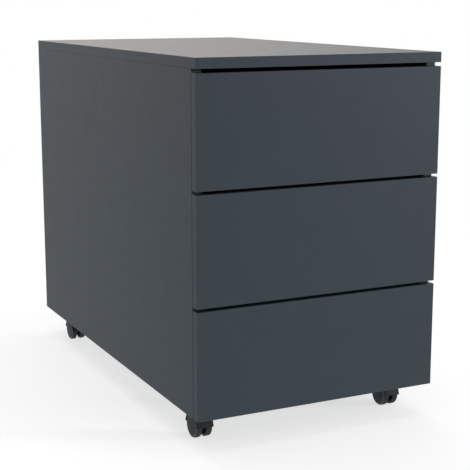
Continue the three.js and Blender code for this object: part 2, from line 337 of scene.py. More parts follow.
# How far each direction is squeezed, so that noise runs in lines along Y or has no direction.
ALONG_Y = (1.0, 0.01, 1.0)
NO_GRAIN = (1.0, 1.0, 1.0)


def shade(material, graph, colour, roughness, bumps, metallic=0.0, shine=0.5):
    """Fills the shader. Each bump is (height from 0 to 1, its real depth in metres, strength)."""
    surface = {}
    for height, depth, strength in bumps:
        inputs = {"Height": height, "Distance": depth, "Strength": strength, **surface}
        surface["Normal"] = graph.node("ShaderNodeBump", inputs).outputs["Normal"]
    graph.fill_shader({
        "Base Color": colour,
        "Roughness": roughness,
        "Metallic": metallic,
        "Specular IOR Level": shine,
        **surface,
    })
    return material


def tinted(graph, colour, *tones):
    """A colour made lighter or darker by the sum of the tones."""
    total = tones[0]
    for tone in tones[1:]:
        total = graph.maths("ADD", total, tone)
    grey = graph.node("ShaderNodeCombineColor", {0: total, 1: total, 2: total}).outputs[0]
    return graph.mix(1.0, colour, grey, "MULTIPLY")


def dusted(graph, cloud, colour):
    """A colour with a little dust, settled in patches."""
    settled = graph.maths("MULTIPLY", graph.ease(cloud, 0.45, 0.75), DUST_SHARE)
    return graph.mix(settled, colour, DUST)


def edge_distance(graph, place, low, high):
    """Distance to the nearest edge of a box, and the distances to its three pairs of faces."""
    centre = (low + high) / 2
    half = (high - low) / 2
    from_centre = graph.vector_maths("SUBTRACT", place, centre)
    inside = graph.vector_maths("SUBTRACT", half, graph.vector_maths("ABSOLUTE", from_centre))
    x, y, z = graph.split(inside)
    least = graph.maths("MINIMUM", x, graph.maths("MINIMUM", y, z))
    most = graph.maths("MAXIMUM", x, graph.maths("MAXIMUM", y, z))
    total = graph.maths("ADD", x, graph.maths("ADD", y, z))
    middle = graph.maths("SUBTRACT", graph.maths("SUBTRACT", total, least), most)
    return middle, (x, y, z)


def board_material(node):
    """Melamine-faced board: a satin pearl texture, with an edge band 1 mm thick round its rim."""
    low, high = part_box(node)
    size = high - low
    thin = min(range(3), key=lambda axis: size[axis])
    material, graph, place = new_material(f"board_{node}")
    rim, faces = edge_distance(graph, place, low, high)
    cloud = graph.noise(place, 120 * MM, 3.0)
    pearl = graph.noise(place, 0.9 * MM, 2.0, 0.6)
    grain = graph.noise(place, 0.25 * MM, 1.0)
    smudge = graph.noise(place, 35 * MM, 4.0, 0.6)

    face = tinted(graph, ANTHRACITE, graph.vary(cloud, 0.985, 1.015), graph.vary(pearl, -0.11, 0.11))
    on_wide_face = graph.ease(faces[thin], 0.0, BAND_SKIN, 1.0, 0.0)
    off_seam = graph.maths("ABSOLUTE", graph.maths("SUBTRACT", rim, EDGE_BAND))
    seam = graph.maths("MULTIPLY", graph.ease(off_seam, 0.0, SEAM_WIDTH, 1.0, 0.0), on_wide_face)
    banded = graph.mix(graph.maths("MULTIPLY", seam, SEAM_SHARE), face, SEAM_SHADE)
    patches = graph.ease(graph.noise(place, 18 * MM, 4.0, 0.7), 0.52, 0.68)
    near_rim = graph.ease(rim, *BOARD_WEAR_REACH, BOARD_WEAR_SHARE, 0.0)
    worn = graph.maths("MULTIPLY", near_rim, patches)
    colour = graph.mix(worn, banded, WORN_BOARD)

    rough = graph.maths("ADD", graph.vary(smudge, 0.385, 0.415), graph.vary(pearl, -0.05, 0.05))
    rough = graph.maths("SUBTRACT", rough, graph.maths("MULTIPLY", worn, 0.1))
    return shade(material, graph, colour, rough, [
        (pearl, 0.04 * MM, 0.7),
        (grain, 0.01 * MM, 0.3),
        (graph.maths("SUBTRACT", 1.0, seam), 0.08 * MM, 0.5),
    ])


def foil_material(node):
    """Drawer boards wrapped in graphite foil with a fine linen print."""
    material, graph, place = new_material(f"foil_{node}")
    rim, _ = edge_distance(graph, place, *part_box(node))
    warp = graph.noise(graph.stretch(place, (1.0, 0.06, 1.0)), 0.5 * MM, 2.0)
    weft = graph.noise(graph.stretch(place, (0.06, 1.0, 0.06)), 0.5 * MM, 2.0)
    linen = graph.maths("MULTIPLY", graph.maths("ADD", warp, weft), 0.5)
    cloud = graph.noise(place, 80 * MM, 3.0)
    rubbed = graph.noise(graph.stretch(place, (1.0, 0.2, 1.0)), 14 * MM, 5.0, 0.7)
    print_tone = graph.ease(linen, 0.35, 0.65, -0.12, 0.12)
    face = tinted(graph, GRAPHITE, graph.vary(cloud, 0.96, 1.04), print_tone)
    near_rim = graph.ease(rim, *FOIL_WEAR_REACH, FOIL_WEAR_SHARE, 0.0)
    worn = graph.maths("MULTIPLY", near_rim, graph.ease(rubbed, 0.48, 0.66))
    colour = graph.mix(worn, face, WORN_FOIL)
    return shade(material, graph, colour, graph.vary(rubbed, 0.42, 0.56), [(linen, 0.03 * MM, 0.6)])


def steel_material(name, colour, rough, grain=ALONG_Y):
    """Zinc-coated steel: fine lines along its grain, and faint crystals."""
    material, graph, place = new_material(name)
    lines = graph.noise(graph.stretch(place, grain), 0.35 * MM, 3.0, 0.6)
    bands = graph.noise(graph.stretch(place, grain), 3.0 * MM, 2.0)
    cells = graph.node("ShaderNodeTexVoronoi", {"Vector": place, "Scale": 1 / (2.2 * MM)})
    crystal = graph.split(cells.outputs["Color"])[0]
    handled = graph.noise(graph.stretch(place, (1.0, 0.3, 1.0)), 22 * MM, 4.0, 0.6)
    face = tinted(
        graph,
        colour,
        graph.vary(bands, 0.94, 1.06),
        graph.ease(crystal, 0.0, 1.0, -0.02, 0.02),
        graph.vary(lines, -0.07, 0.07),
    )
    handled = graph.vary(handled, rough - 0.03, rough + 0.05)
    rough = graph.maths("ADD", handled, graph.vary(lines, -0.06, 0.06))
    bumps = [(lines, 0.015 * MM, 0.5), (crystal, 0.004 * MM, 0.2)]
    return shade(material, graph, face, rough, bumps, metallic=1.0)


def hood_material():
    """Moulded nylon with a spark-eroded texture, rubbed on its corners and a little dusty."""
    material, graph, place = new_material("caster_hood")
    spark = graph.noise(place, 0.35 * MM, 2.0, 0.6)
    cloud = graph.noise(place, 6 * MM, 4.0, 0.6)
    corner = graph.node("ShaderNodeNewGeometry").outputs["Pointiness"]
    face = tinted(graph, HOOD_NYLON, graph.vary(cloud, 0.94, 1.06), graph.vary(spark, -0.08, 0.08))
    on_corner = graph.ease(corner, 0.51, 0.57, 0.0, 0.5)
    rubbed = graph.maths("MULTIPLY", on_corner, graph.ease(cloud, 0.4, 0.6))
    colour = dusted(graph, cloud, graph.mix(rubbed, face, SCUFFED_NYLON))
    bumps = [(spark, 0.03 * MM, 0.5)]
    return shade(material, graph, colour, graph.vary(cloud, 0.38, 0.52), bumps, shine=NYLON_SHINE)


def wheel_material(radius):
    """Moulded nylon: faint turned rings on the face, a painted highlight on the shoulder, and a scuffed
    tread.
    """
    material, graph, place = new_material("caster_wheel")
    flat = graph.stretch(place, (0.0, 1.0, 1.0))
    from_axle = graph.vector_maths("LENGTH", flat)
    spark = graph.noise(place, 0.4 * MM, 2.0, 0.6)
    cloud = graph.noise(place, 5 * MM, 4.0, 0.6)
    scratches = graph.noise(graph.stretch(place, (0.15, 1.0, 1.0)), 0.8 * MM, 3.0, 0.7)
    rings = graph.maths("SINE", graph.maths("MULTIPLY", from_axle, 2 * math.pi / (0.5 * MM)))
    on_tread = graph.ease(from_axle, radius - 1.6 * MM, radius - 0.2 * MM)
    face = tinted(graph, NYLON, graph.vary(cloud, 0.98, 1.12), graph.vary(spark, -0.06, 0.06))
    scuffs = graph.maths("MULTIPLY", on_tread, graph.ease(scratches, 0.42, 0.62, 0.05, 0.45))
    # The lighter band on the shoulder is a painted highlight, a ring of colour in place of a lamp's
    # gleam on the rounded shoulder, not wear.
    shoulder = graph.maths(
        "MULTIPLY",
        graph.ease(from_axle, radius - 6.5 * MM, radius - 2.0 * MM),
        graph.ease(from_axle, radius - 1.2 * MM, radius - 0.2 * MM, 1.0, 0.0),
    )
    rubbed = graph.maths("MULTIPLY", shoulder, graph.ease(cloud, 0.35, 0.65, 0.75, 1.0))
    # The tread scuffs are wear; the shoulder band mixed in here is a painted highlight.
    scuffs_and_painted_highlight = graph.mix(scuffs, graph.mix(rubbed, face, PAINTED_SHOULDER_HIGHLIGHT), SCUFFED_NYLON)
    colour = dusted(graph, cloud, scuffs_and_painted_highlight)
    rough = graph.maths("ADD", graph.vary(cloud, 0.36, 0.46), graph.maths("MULTIPLY", scuffs, 0.35))
    bumps = [(rings, 0.006 * MM, 0.3), (spark, 0.02 * MM, 0.4), (scratches, 0.03 * MM, 0.3)]
    return shade(material, graph, colour, rough, bumps, shine=NYLON_SHINE)


def soft_material(name, colour, rough):
    """A soft moulded plastic for buffers and stops."""
    material, graph, place = new_material(name)
    cloud = graph.noise(place, 4 * MM, 4.0, 0.6)
    skin = graph.noise(place, 0.3 * MM, 2.0)
    face = tinted(graph, colour, graph.vary(cloud, 0.92, 1.08), graph.vary(skin, -0.05, 0.05))
    rough = graph.vary(cloud, rough - 0.06, rough + 0.06)
    return shade(material, graph, face, rough, [(skin, 0.02 * MM, 0.4)])


# ---------- shape helpers ----------

SMOOTH_UNDER = math.radians(35)
CORNER_STEPS = 6


def closed_mesh(name, vertices, faces):
    mesh = bpy.data.meshes.new(name)
    mesh.from_pydata([tuple(vertex) for vertex in vertices], [], faces)
    shape = bmesh.new()
    shape.from_mesh(mesh)
    bmesh.ops.recalc_face_normals(shape, faces=shape.faces)
    shape.to_mesh(mesh)
    shape.free()
    return soften(mesh)


def soften(mesh):
    """Shades gentle bends smooth and leaves real corners sharp."""
    mesh.shade_smooth()
    mesh.set_sharp_from_angle(angle=SMOOTH_UNDER)
    return mesh


def add_piece(name, mesh, body, material, place=(0.0, 0.0, 0.0)):
    """A visible piece that moves with a CAD body."""
    piece = bpy.data.objects.new(name, mesh)
    piece.location = place
    bpy.context.scene.collection.objects.link(piece)
    mesh.materials.clear()
    mesh.materials.append(material)
    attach(piece, body)
    return piece


def loft(name, rings):
    """A solid through rings of equally many points, with its two ends capped."""
    count = len(rings[0])
    last = (len(rings) - 1) * count
    vertices = [point for ring in rings for point in ring]
    faces = []
    for start in range(0, last, count):
        for corner in range(count):
            after = (corner + 1) % count
            faces.append((start + corner, start + after, start + count + after, start + count + corner))
    faces.append(tuple(range(count)))
    faces.append(tuple(last + corner for corner in reversed(range(count))))
    return closed_mesh(name, vertices, faces)


def lathe(name, profile, sides):
    """Turns a profile of (radius, height) round Z. It starts and ends on the axis."""
    vertices = []
    rows = []
    for radius, height in profile:
        if radius == 0:
            rows.append([len(vertices)] * sides)
            vertices.append((0.0, 0.0, height))
            continue
        rows.append([len(vertices) + side for side in range(sides)])
        vertices += [(x, y, height) for x, y in circle(radius, sides)]
    faces = []
    for below, above in zip(rows, rows[1:]):
        for side in range(sides):
            after = (side + 1) % sides
            corners = (below[side], below[after], above[after], above[side])
            faces.append(tuple(dict.fromkeys(corners)))
    return closed_mesh(name, vertices, faces)


def cylinder(radius, height):
    return lathe("cylinder", [(0, 0.0), (radius, 0.0), (radius, height), (0, height)], 48)


def arc(centre, radius, start, end, steps):
    """Points of an arc in a plane. Its angles are in degrees."""
    turns = [math.radians(start + (end - start) * step / steps) for step in range(steps + 1)]
    return [
        (centre[0] + radius * math.cos(turn), centre[1] + radius * math.sin(turn))
        for turn in turns
    ]


def rounded_outline(width, height, corner):
    """A rectangle with round corners, about the origin."""
    across = width / 2 - corner
    up = height / 2 - corner
    corners = ((across, up, 0), (-across, up, 90), (-across, -up, 180), (across, -up, 270))
    return [
        point
        for x, y, start in corners
        for point in arc((x, y), corner, start, start + 90, CORNER_STEPS)
    ]


def slab(name, width, height, thickness, corner, edge):
    """A plate with round corners and softened edges, standing on Z = 0."""
    below = [(edge, 0.0), (0.3 * edge, 0.3 * edge), (0.0, edge)]
    above = [(inset, thickness - level) for inset, level in reversed(below)]
    rings = []
    for inset, level in below + above:
        outline = rounded_outline(width - 2 * inset, height - 2 * inset, corner - 0.5 * inset)
        rings.append([(x, y, level) for x, y in outline])
    return loft(name, rings)


def gather(name, parts):
    """One mesh from several, each given as (mesh, matrix)."""
    shape = bmesh.new()
    for mesh, matrix in parts:
        moved = mesh.copy()
        moved.transform(matrix)
        if matrix.determinant() < 0:
            moved.flip_normals()
        shape.from_mesh(moved)
        bpy.data.meshes.remove(moved)
    gathered = bpy.data.meshes.new(name)
    shape.to_mesh(gathered)
    shape.free()
    return gathered


def add_group(name, parts, body, material):
    """One visible piece from several meshes."""
    return add_piece(name, gather(name, parts), body, material)


def inner_face(board, sign):
    """The X of the face of an upright board that looks at the cabinet's middle."""
    low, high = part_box(board)
    return high.x if sign < 0 else low.x


def reshape(mesh, *modifiers):
    """The mesh after modifiers, each given as (kind, settings)."""
    stand_in = bpy.data.objects.new("reshaping", mesh)
    bpy.context.scene.collection.objects.link(stand_in)
    for kind, settings in modifiers:
        modifier = stand_in.modifiers.new(kind.lower(), kind)
        for name, value in settings.items():
            setattr(modifier, name, value)
    graph = bpy.context.evaluated_depsgraph_get()
    shaped = bpy.data.meshes.new_from_object(stand_in.evaluated_get(graph))
    bpy.data.objects.remove(stand_in)
    return soften(shaped)


def combine(mesh, other, operation):
    """Joins or cuts two closed meshes."""
    tool = bpy.data.objects.new("tool", other)
    bpy.context.scene.collection.objects.link(tool)
    settings = {"operation": operation, "solver": "EXACT", "object": tool}
    shaped = reshape(mesh, ("BOOLEAN", settings))
    bpy.data.objects.remove(tool)
    return shaped


def facing(direction, place):
    """The matrix that stands a part's +Z along direction, with its origin at place."""
    turn = Vector(direction).to_track_quat("Z", "Y").to_matrix().to_4x4()
    return Matrix.Translation(place) @ turn


# ---------- screws and fittings ----------

SCREW_RADIUS = 3.4 * MM
SCREW_HEIGHT = 1.5 * MM
CAM_RADIUS = 7.5 * MM
CAM_HEIGHT = 0.5 * MM
CAM_INSET = 34 * MM
BUFFER_RADIUS = 4.0 * MM
BUFFER_HEIGHT = 1.0 * MM
BUFFER_FROM_END = 16 * MM


def cross_cutter(arm, width, depth, top):
    """A cross-shaped cutter that narrows with depth, for a screwdriver's recess."""
    def ring(scale, level):
        tip = arm * scale
        side = width / 2
        quarter = ((side, side), (side, tip), (-side, tip))
        turns = ((1, 0), (0, 1), (-1, 0), (0, -1))
        return [
            (x * cosine - y * sine, x * sine + y * cosine, level)
            for cosine, sine in turns
            for x, y in quarter
        ]

    return loft("cross", [ring(0.5, top - depth), ring(1.0, top), ring(1.0, top + depth)])


def screw_mesh():
    """A pan head with a cross recess, standing on Z = 0."""
    rim = 0.35 * SCREW_HEIGHT
    dome = [
        (SCREW_RADIUS * math.cos(turn), rim + (SCREW_HEIGHT - rim) * math.sin(turn))
        for turn in (math.radians(15 * step) for step in range(6))
    ]
    profile = [(0, 0.0), (SCREW_RADIUS, 0.0), *dome, (0, SCREW_HEIGHT)]
    head = lathe("screw", profile, 32)
    recess = cross_cutter(0.55 * SCREW_RADIUS, 0.24 * SCREW_RADIUS, 0.6 * SCREW_HEIGHT, SCREW_HEIGHT)
    return combine(head, recess, "DIFFERENCE")


def cam_mesh():
    """The visible disc of a cam fitting, with its cross slot."""
    lip = 0.15 * MM
    profile = [
        (0, 0.0),
        (CAM_RADIUS, 0.0),
        (CAM_RADIUS, CAM_HEIGHT - lip),
        (CAM_RADIUS - lip, CAM_HEIGHT),
        (CAM_RADIUS - 1.0 * MM, CAM_HEIGHT),
        (CAM_RADIUS - 1.2 * MM, CAM_HEIGHT - lip),
        (0, CAM_HEIGHT - lip),
    ]
    disc = lathe("cam", profile, 48)
    recess = cross_cutter(0.5 * CAM_RADIUS, 0.16 * CAM_RADIUS, 0.3 * MM, CAM_HEIGHT)
    return combine(disc, recess, "DIFFERENCE")


def buffer_mesh():
    """A self-adhesive buffer dot: a low dome with a rounded rim."""
    profile = [(0, 0.0), (BUFFER_RADIUS, 0.0)]
    profile += [
        (BUFFER_RADIUS * (0.7 + 0.3 * math.cos(turn)), BUFFER_HEIGHT * math.sin(turn))
        for turn in (math.radians(15 * step) for step in range(1, 6))
    ]
    return lathe("buffer", [*profile, (0, BUFFER_HEIGHT)], 32)


def add_drawer_fittings(cam, zinc):
    """Two cam fittings on the inside of each drawer side, which hold the front."""
    for drawer in DRAWERS:
        parts = []
        for side, sign in SIDES.items():
            board = f"drawer_{drawer}_side_{side}"
            low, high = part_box(board)
            for share in (0.3, 0.78):
                height = low.z + share * (high.z - low.z)
                place = (inner_face(board, sign), low.y + CAM_INSET, height)
                parts.append((cam, facing((-sign, 0, 0), place)))
        add_group(f"drawer_{drawer}_cams", parts, f"drawer_{drawer}", zinc)


def add_carcass_fittings(cam, zinc):
    """Cam fittings under the bottom board and inside the side boards, under the top."""
    low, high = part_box("bottom_board")
    parts = []
    for sign in SIDES.values():
        for share in (0.3, 0.7):
            along = low.y + share * (high.y - low.y)
            parts.append((cam, facing((0, 0, -1), (sign * (high.x - CAM_INSET), along, low.z))))
    for side, sign in SIDES.items():
        board = f"side_board_{side}"
        low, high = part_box(board)
        for share in (0.12, 0.88):
            along = low.y + share * (high.y - low.y)
            place = (inner_face(board, sign), along, high.z - 0.5 * CAM_INSET)
            parts.append((cam, facing((-sign, 0, 0), place)))
    add_group("carcass_cams", parts, "carcass", zinc)


def add_front_buffers(material):
    """Buffer dots on the side boards' front edges, which the closed fronts rest against."""
    buffer = buffer_mesh()
    parts = []
    for side in SIDES:
        low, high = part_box(f"side_board_{side}")
        middle = (low.x + high.x) / 2
        for front in FRONT_BOARDS:
            bottom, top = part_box(front)
            for height in (bottom.z + BUFFER_FROM_END, top.z - BUFFER_FROM_END):
                parts.append((buffer, facing((0, -1, 0), (middle, low.y, height))))
    add_group("front_buffers", parts, "carcass", material)


# ---------- slides ----------

SHEET = 1.2 * MM
BALL_RADIUS = 1.5 * MM
BALL_PITCH = 7.0 * MM
BALLS_IN_ROW = 26
CAGE_THICKNESS = 0.5 * MM
CAGE_EDGE = 0.1 * MM
OUTER_BALLS_AT = 0.72
INNER_BALLS_AT = 0.28
RAIL_BEND = 1.4 * MM
RAIL_ARRIS = 0.15 * MM
LIP = 0.8 * MM
GROOVE_DEPTH = 0.7 * MM
GROOVE_HALF_WIDTH = 4.6 * MM
CABINET_SCREWS = (0.06, 0.40, 0.80)
DRAWER_SCREWS = (0.05, 0.35, 0.75)
STOP_FROM_END = 6 * MM
LEVER_AT = 0.55
RAIL_BODIES = {"cabinet": "carcass", "carrier": "slide_carriers_{}", "drawer": "drawer_{}"}
# The holes in each rail's web: share of its length, length, width, height off the middle.
RAIL_HOLES = {
    "cabinet": [
        (share, 11 * MM, 4.6 * MM, 0.0) for share in (0.10, 0.25, 0.47, 0.62, 0.86, 0.95)
    ],
    "carrier": [(share, 22 * MM, 4.0 * MM, 9 * MM) for share in (0.06, 0.52, 0.93)]
    + [(share, 22 * MM, 4.0 * MM, -9 * MM) for share in (0.06, 0.52, 0.93)],
    "drawer": [(share, 9 * MM, 4.6 * MM, 0.0) for share in (0.09, 0.24, 0.44, 0.66, 0.84)]
    + [(share, 4.6 * MM, 4.6 * MM, 6.5 * MM) for share in (0.15, 0.55)],
}


def sheet_outline(path, thickness):
    """The closed outline of bent sheet, from the line through the middle of its thickness."""
    sides = ([], [])
    for index, point in enumerate(path):
        before = Vector(path[max(index - 1, 0)])
        after = Vector(path[min(index + 1, len(path) - 1)])
        here = Vector(point)
        arrive = (here - before).normalized() if index > 0 else (after - here).normalized()
        leave = (after - here).normalized() if index < len(path) - 1 else arrive
        along = (arrive + leave).normalized()
        across = Vector((-along.y, along.x))
        reach = thickness / 2 / max(along.dot(arrive), 0.5)
        sides[0].append(here + across * reach)
        sides[1].append(here - across * reach)
    return [*sides[0], *reversed(sides[1])]


def bent(upper):
    """A whole section from its upper half, which starts at the flange's tip and ends at z = 0."""
    lower = [(x, -z) for x, z in reversed(upper)]
    return [*upper, *(lower[1:] if upper[-1][1] == 0 else lower)]


def rail_section(kind, web, tip, half_height):
    """The middle line of one rail's sheet, with x counted from its web towards its tips."""
    top = half_height - SHEET / 2
    bend = RAIL_BEND
    corner = arc((web + (bend if tip > web else -bend), top - bend), bend, 90, 180, 5)
    if tip < web:
        corner = [(2 * (web - bend) - x, z) for x, z in corner]
    inward = 1 if tip > web else -1
    lips = {
        "cabinet": [(tip, top - 0.5 * MM), (tip - LIP * inward, top)],
        "carrier": [(tip, top - 0.4 * MM), (tip - LIP * inward, top)],
        "drawer": [(tip, top)],
    }
    middle = [(web, 0.0)]
    if kind == "carrier":
        floor = web + GROOVE_DEPTH
        middle = [(web, GROOVE_HALF_WIDTH), (floor, GROOVE_HALF_WIDTH - 1.2 * MM), (floor, 0.0)]
    return bent([*lips[kind], *corner, *middle])


def slot_cutter(length, width, depth):
    """A cutter for a slot with round ends, or a round hole where length is the width."""
    outline = rounded_outline(length, width, width / 2 - 0.01 * MM)
    return loft("slot", [[(x, y, z) for x, y in outline] for z in (-depth, depth)])


def rail_mesh(kind, web, tip, half_height, length):
    """A rolled rail from Y = 0 to its length, with the holes that are punched in its web."""
    outline = sheet_outline(rail_section(kind, web, tip, half_height), SHEET)
    rail = loft(kind, [[(x, y, z) for x, z in outline] for y in (0.0, length)])
    rail = reshape(rail, ("BEVEL", {"width": RAIL_ARRIS, "segments": 1, "limit_method": "ANGLE"}))
    holes = []
    for share, hole_length, hole_width, height in RAIL_HOLES[kind]:
        cutter = slot_cutter(hole_length, hole_width, 2 * SHEET)
        holes.append((cutter, facing((1, 0, 0), (web, share * length, height))))
    return combine(rail, gather("holes", holes), "DIFFERENCE")


def add_rails(zinc):
    """Rolled rails in place of the plain ones, each the size of its CAD node."""
    for kind, body in RAIL_BODIES.items():
        low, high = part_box(f"slide_top_left_{kind}_rail")
        wall = inner_face("side_board_left", SIDES["left"])
        near = low.x - wall
        far = high.x - wall
        web, tip = (near + SHEET / 2, far) if kind != "drawer" else (far - SHEET / 2, near)
        shape = rail_mesh(kind, web, tip, (high.z - low.z) / 2, high.y - low.y)
        for drawer in DRAWERS:
            for side, sign in SIDES.items():
                node = f"slide_{drawer}_{side}_{kind}_rail"
                low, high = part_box(node)
                wall = inner_face(f"side_board_{side}", sign)
                place = Matrix.Translation((wall, low.y, (low.z + high.z) / 2))
                mesh = soften(gather(node, [(shape, place @ Matrix.Diagonal((-sign, 1, 1, 1)))]))
                rail = add_piece(f"{node}_rolled", mesh, body.format(drawer), zinc)
                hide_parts(node)


def ball_mesh():
    mesh = bpy.data.meshes.new("ball")
    shape = bmesh.new()
    bmesh.ops.create_icosphere(shape, subdivisions=2, radius=BALL_RADIUS)
    shape.to_mesh(mesh)
    shape.free()
    mesh.shade_smooth()
    return mesh


def add_balls(slide, body, ball, steel):
    """The four rows of balls of one slide: two outside the carrier rail, two inside it."""
    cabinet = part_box(f"{slide}_cabinet_rail")
    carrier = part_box(f"{slide}_carrier_rail")
    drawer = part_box(f"{slide}_drawer_rail")
    length = carrier[1].y - carrier[0].y
    row = BALL_PITCH * (BALLS_IN_ROW - 1)
    strip = slab(
        "strip",
        width=2.4 * BALL_RADIUS,
        height=row + 2 * BALL_PITCH,
        thickness=CAGE_THICKNESS,
        corner=0.8 * MM,
        edge=CAGE_EDGE,
    )
    balls = []
    cages = []
    # The outer balls stay by the carrier's back end and the inner ones by its front end, where
    # the rails still overlap when the drawer is right out.
    layers = ((cabinet, carrier, OUTER_BALLS_AT), (carrier, drawer, INNER_BALLS_AT))
    for outer, inner, share in layers:
        across = (max(outer[0].x, inner[0].x) + min(outer[1].x, inner[1].x)) / 2
        middle = carrier[0].y + share * length
        for end, sign in ((1, 1), (0, -1)):
            height = (outer[end].z - sign * SHEET + inner[end].z) / 2
            cages.append((strip, Matrix.Translation((across, middle, height - CAGE_THICKNESS / 2))))
            for step in range(BALLS_IN_ROW):
                along = middle - row / 2 + step * BALL_PITCH
                balls.append((ball, Matrix.Translation((across, along, height))))
    add_group(f"{slide}_balls", balls, body, steel)
    add_group(f"{slide}_cages", cages, body, steel)


def on_web(rail, inward, share):
    """The point on the middle of a rail's web, inside its channel, a share of the way along."""
    low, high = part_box(rail)
    face = low.x + SHEET if inward > 0 else high.x - SHEET
    return Vector((face, low.y + share * (high.y - low.y), (low.z + high.z) / 2))


def add_slide_screws(slide, sign, drawer, screw, zinc):
    """Three screws through each fixed rail: one rail to the cabinet and one to the drawer."""
    for kind, inward, shares in (
        ("cabinet", -sign, CABINET_SCREWS),
        ("drawer", sign, DRAWER_SCREWS),
    ):
        rail = f"{slide}_{kind}_rail"
        body = RAIL_BODIES[kind].format(drawer)
        parts = [(screw, facing((inward, 0, 0), on_web(rail, inward, share))) for share in shares]
        add_group(f"{slide}_{kind}_screws", parts, body, zinc)


def add_slide_stop(slide, sign, body, stop, material):
    """A soft stop at the back end of the carrier rail, inside its channel."""
    end = on_web(f"{slide}_carrier_rail", -sign, 1.0)
    place = facing((-sign, 0, 0), end - Vector((0.0, STOP_FROM_END, 0.0)))
    add_group(f"{slide}_stop", [(stop, place)], body, material)


def lever_mesh():
    """The lever that frees a drawer from its slide: an arm along X, its finger and its pivot."""
    arm = slab("arm", width=46 * MM, height=7 * MM, thickness=1.4 * MM, corner=2.5 * MM, edge=0.3 * MM)
    finger = slab(
        "finger",
        width=12 * MM,
        height=11 * MM,
        thickness=1.9 * MM,
        corner=2.5 * MM,
        edge=0.4 * MM,
    )
    pivot = lathe("pivot", [(0, 0.0), (2.2 * MM, 0.0), (2.0 * MM, 1.9 * MM), (0, 2.1 * MM)], 24)
    for part, along in ((finger, -20 * MM), (pivot, 17 * MM)):
        moved = gather("moved", [(part, Matrix.Translation((along, 0.0, 0.0)))])
        arm = combine(arm, moved, "UNION")
    return arm


def add_release_lever(slide, sign, drawer, lever, material):
    """The small lever in the drawer rail's channel."""
    place = facing((sign, 0, 0), on_web(f"{slide}_drawer_rail", sign, LEVER_AT))
    mesh = gather(f"{slide}_lever", [(lever, place @ Matrix.Diagonal((sign, 1, 1, 1)))])
    add_piece(f"{slide}_lever", soften(mesh), f"drawer_{drawer}", material)


def add_slides(screw, zinc, steel, rubber):
    ball = ball_mesh()
    stop = slab("stop", width=16 * MM, height=9 * MM, thickness=3 * MM, corner=1.5 * MM, edge=0.4 * MM)
    lever = lever_mesh()
    for drawer in DRAWERS:
        for side, sign in SIDES.items():
            slide = f"slide_{drawer}_{side}"
            carriers = f"slide_carriers_{drawer}"
            add_balls(slide, carriers, ball, steel)
            add_slide_screws(slide, sign, drawer, screw, zinc)
            add_slide_stop(slide, sign, carriers, stop, rubber)
            add_release_lever(slide, sign, drawer, lever, rubber)


# ---------- casters ----------

HOOD_WALL = 1.6 * MM
HOOD_LIP = 0.35 * MM
HOOD_SHOULDER = 1.2 * MM
HOOD_EDGE_RISE = 0.7 * MM
HOOD_BOSS_BOTTOM_RADIUS = 12 * MM
HOOD_BOSS_TOP_RADIUS = 11 * MM
WEB_HALF_WIDTH = 3.8 * MM
WEB_HUB_RADIUS = 6.5 * MM
STEM_RADIUS = 3.0 * MM
AXLE_RADIUS = 2.0 * MM
RUNNING_CLEARANCE = 0.3 * MM
STEM_BORE_DEPTH = 7 * MM
HUB_RADIUS = 5.5 * MM
WHEEL_FACE = 2.4 * MM
WHEEL_SHOULDER = 3.4 * MM
WHEEL_CROWN = 0.08 * MM
WHEEL_BORE_END = 12.3 * MM
RIBS = 8
RIB_INSET = 1.6 * MM
RIB_BITE = 0.3 * MM
PLATE_THICKNESS = 2.2 * MM
PLATE_BITE = 0.2 * MM
RACE_BOTTOM = 48.6 * MM
PLATE_SCREW_INSET = 4.6 * MM
VOXEL = 0.35 * MM


class Caster:
    """Where one caster's parts are, from its CAD nodes."""

    def __init__(self, place):
        self.name = f"caster_{place}"
        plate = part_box(f"{self.name}_plate")
        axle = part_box(f"{self.name}_axle")
        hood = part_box(f"{self.name}_hood")
        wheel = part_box(f"{self.name}_wheel_right")
        self.plate_low, self.plate_high = plate
        self.stem = (plate[0] + plate[1]) / 2
        self.axle = (axle[0] + axle[1]) / 2
        self.hood_radius = (hood[1].y - hood[0].y) / 2
        self.hood_half_width = (hood[1].x - hood[0].x) / 2
        self.hood_top = hood[1].z
        self.wheel_radius = (wheel[1].z - wheel[0].z) / 2
        self.wheel_inner = wheel[0].x - self.axle.x
        self.wheel_outer = wheel[1].x - self.axle.x


def arch_mesh(caster):
    """The hood's shell, swept over the wheels, with a lip along its lower edges."""
    width = caster.hood_half_width
    start = math.asin(HOOD_EDGE_RISE / caster.hood_radius)
    inner = caster.hood_radius - HOOD_WALL
    steps = 96
    rings = []
    for step in range(steps + 1):
        turn = start + (math.pi - 2 * start) * step / steps
        from_end = min(turn - start, math.pi - start - turn) * caster.hood_radius
        lip = HOOD_LIP if from_end < 2.2 * MM else 0.0
        outer = caster.hood_radius - HOOD_LIP + lip
        centre = (width - HOOD_SHOULDER, outer - HOOD_SHOULDER)
        shoulder = arc(centre, HOOD_SHOULDER, 0, 90, CORNER_STEPS)
        section = [(width, inner), *shoulder]
        section += [(-across, radius) for across, radius in reversed(section)]
        rings.append([
            (across, radius * math.cos(turn), radius * math.sin(turn))
            for across, radius in section
        ])
    return loft("arch", rings)


def boss_mesh(caster):
    """The round boss under the swivel race. Its foot follows the middle of the shell."""
    sides = 72
    rows = 10
    trail = caster.stem.y - caster.axle.y
    shell = caster.hood_radius - HOOD_WALL / 2
    top = caster.hood_top - caster.axle.z

    def ring(radius, height=None):
        points = []
        for x, y in circle(radius, sides):
            foot = math.sqrt(shell ** 2 - (trail + y) ** 2)
            points.append((x, trail + y, foot if height is None else height))
        return points

    rings = [ring(STEM_RADIUS * (row + 1) / 3) for row in range(3)]
    span = HOOD_BOSS_BOTTOM_RADIUS - STEM_RADIUS
    rings += [ring(STEM_RADIUS + span * (row + 1) / rows) for row in range(rows)]
    rings.append(ring(HOOD_BOSS_TOP_RADIUS, top - 0.6 * MM))
    rings.append(ring(HOOD_BOSS_TOP_RADIUS - 0.6 * MM, top))
    return loft("boss", rings)


